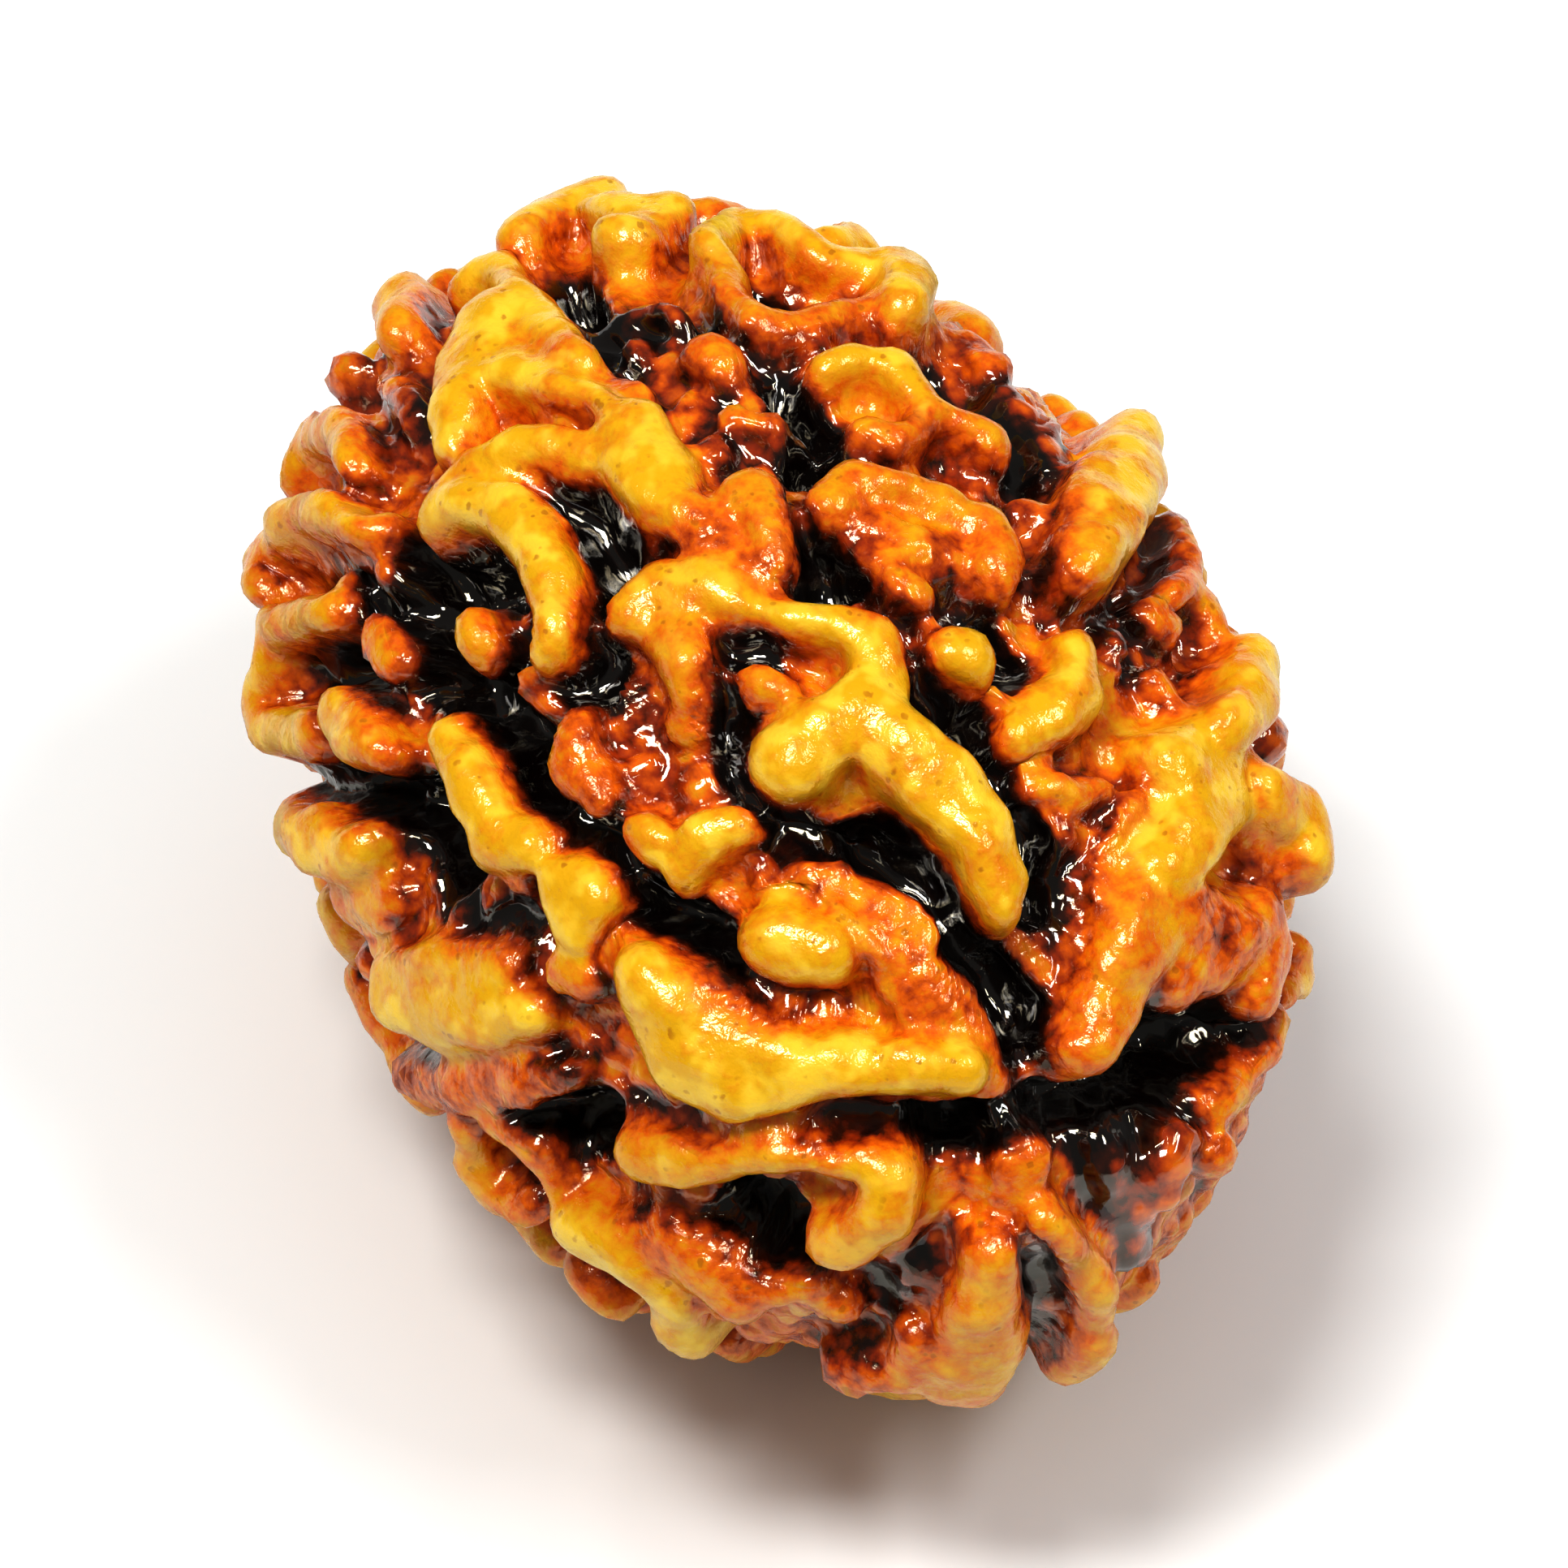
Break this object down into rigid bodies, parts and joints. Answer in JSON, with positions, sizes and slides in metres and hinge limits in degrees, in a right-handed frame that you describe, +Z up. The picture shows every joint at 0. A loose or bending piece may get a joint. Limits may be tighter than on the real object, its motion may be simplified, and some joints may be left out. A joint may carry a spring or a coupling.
{
  "type": "three mukhi rudraksha bead",
  "caption": "Oblong rudraksha stone with deep furrows and knobbly rounded lobes, lying on its side on a small flat spot",
  "frame": {"origin": "middle of the small flat spot under the stone that it rests on", "axes": "+X along the stone towards the end where the three furrows meet, +Z up, +Y across"},
  "size_m": [0.0267, 0.0189, 0.0183],
  "materials": {
    "stone": "oiled and waxed: golden tops, orange to red-brown flanks, near-black wet valleys"
  },
  "bodies": {
    "root": {"rudraksha_bead": "stone"}
  },
  "joints": []
}
